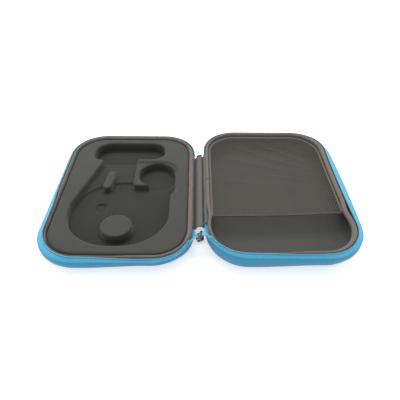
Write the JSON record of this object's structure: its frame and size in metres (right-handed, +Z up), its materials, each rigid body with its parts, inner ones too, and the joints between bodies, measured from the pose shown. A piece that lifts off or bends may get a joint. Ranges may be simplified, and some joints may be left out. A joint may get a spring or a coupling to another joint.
{
  "type": "zip-round hard case",
  "caption": "Open clamshell hard case: shallow base with a recessed foam tray, deeper lid with a mesh pocket, fabric hinge strip and zipper round the rim.",
  "frame": {"origin": "centre of the open case's footprint, on the ground", "axes": "+X across the hinge from the base to the lid, +Y along the hinge away from the zipper's slider, +Z up"},
  "size_m": [0.4034, 0.27, 0.0388],
  "materials": {
    "shell_fabric": "turquoise woven fabric over a moulded foam board",
    "lining_fabric": "smooth dark grey knit",
    "tray_foam": "smooth fabric-faced dark grey foam",
    "zip_tape": "turquoise ribbed zipper tape",
    "zip_coil": "nylon coil, sewn to the tape",
    "stop_metal": "clamped metal stop",
    "binding_fabric": "soft brown-grey bias binding",
    "hinge_fabric": "grey woven fabric, slightly rumpled",
    "slider_metal": "dark enamelled die-cast zinc",
    "pull_metal": "dark enamelled die-cast zinc",
    "net_mesh": "knitted polyester net",
    "net_edging": "folded tape"
  },
  "bodies": {
    "base": {"base_shell": "shell_fabric", "base_lining": "lining_fabric", "foam_tray": "tray_foam", "base_binding": "binding_fabric", "base_zip_tape": "zip_tape", "base_zip_teeth": "zip_coil", "base_top_stop": "stop_metal", "base_strip_margin": "hinge_fabric"},
    "spine": {"hinge_strip": "hinge_fabric", "hinge_hem_far": "hinge_fabric", "hinge_hem_near": "hinge_fabric", "zip_tails": "zip_tape", "zip_slider": "slider_metal"},
    "pull": {"zip_pull": "pull_metal"},
    "lid": {"lid_shell": "shell_fabric", "lid_lining": "lining_fabric", "lid_binding": "binding_fabric", "lid_zip_tape": "zip_tape", "lid_zip_teeth": "zip_coil", "lid_top_stop": "stop_metal", "lid_strip_margin": "hinge_fabric", "mesh_panel": "net_mesh", "mesh_hem": "net_edging", "mesh_edging": "net_edging"}
  },
  "joints": [
    {"name": "spine_hinge", "type": "hinge", "parent": "base", "child": "spine", "pos_m": [-0.007, 0, 0.02294], "axis": [0, -1, 0], "range_deg": [0, 60.26]},
    {"name": "lid_hinge", "type": "hinge", "parent": "spine", "child": "lid", "pos_m": [0.007, 0, 0.03094], "axis": [0, -1, 0], "range_deg": [0, 119.74]},
    {"name": "pull_hinge", "type": "hinge", "parent": "spine", "child": "pull", "pos_m": [0.00181, -0.096, 0.02377], "axis": [-0.8682, 0, -0.4961], "range_deg": [0, 160]}
  ],
  "couplings": [
    {"joint": "spine_hinge", "follows": "lid_hinge", "ratio": 0.50325}
  ]
}
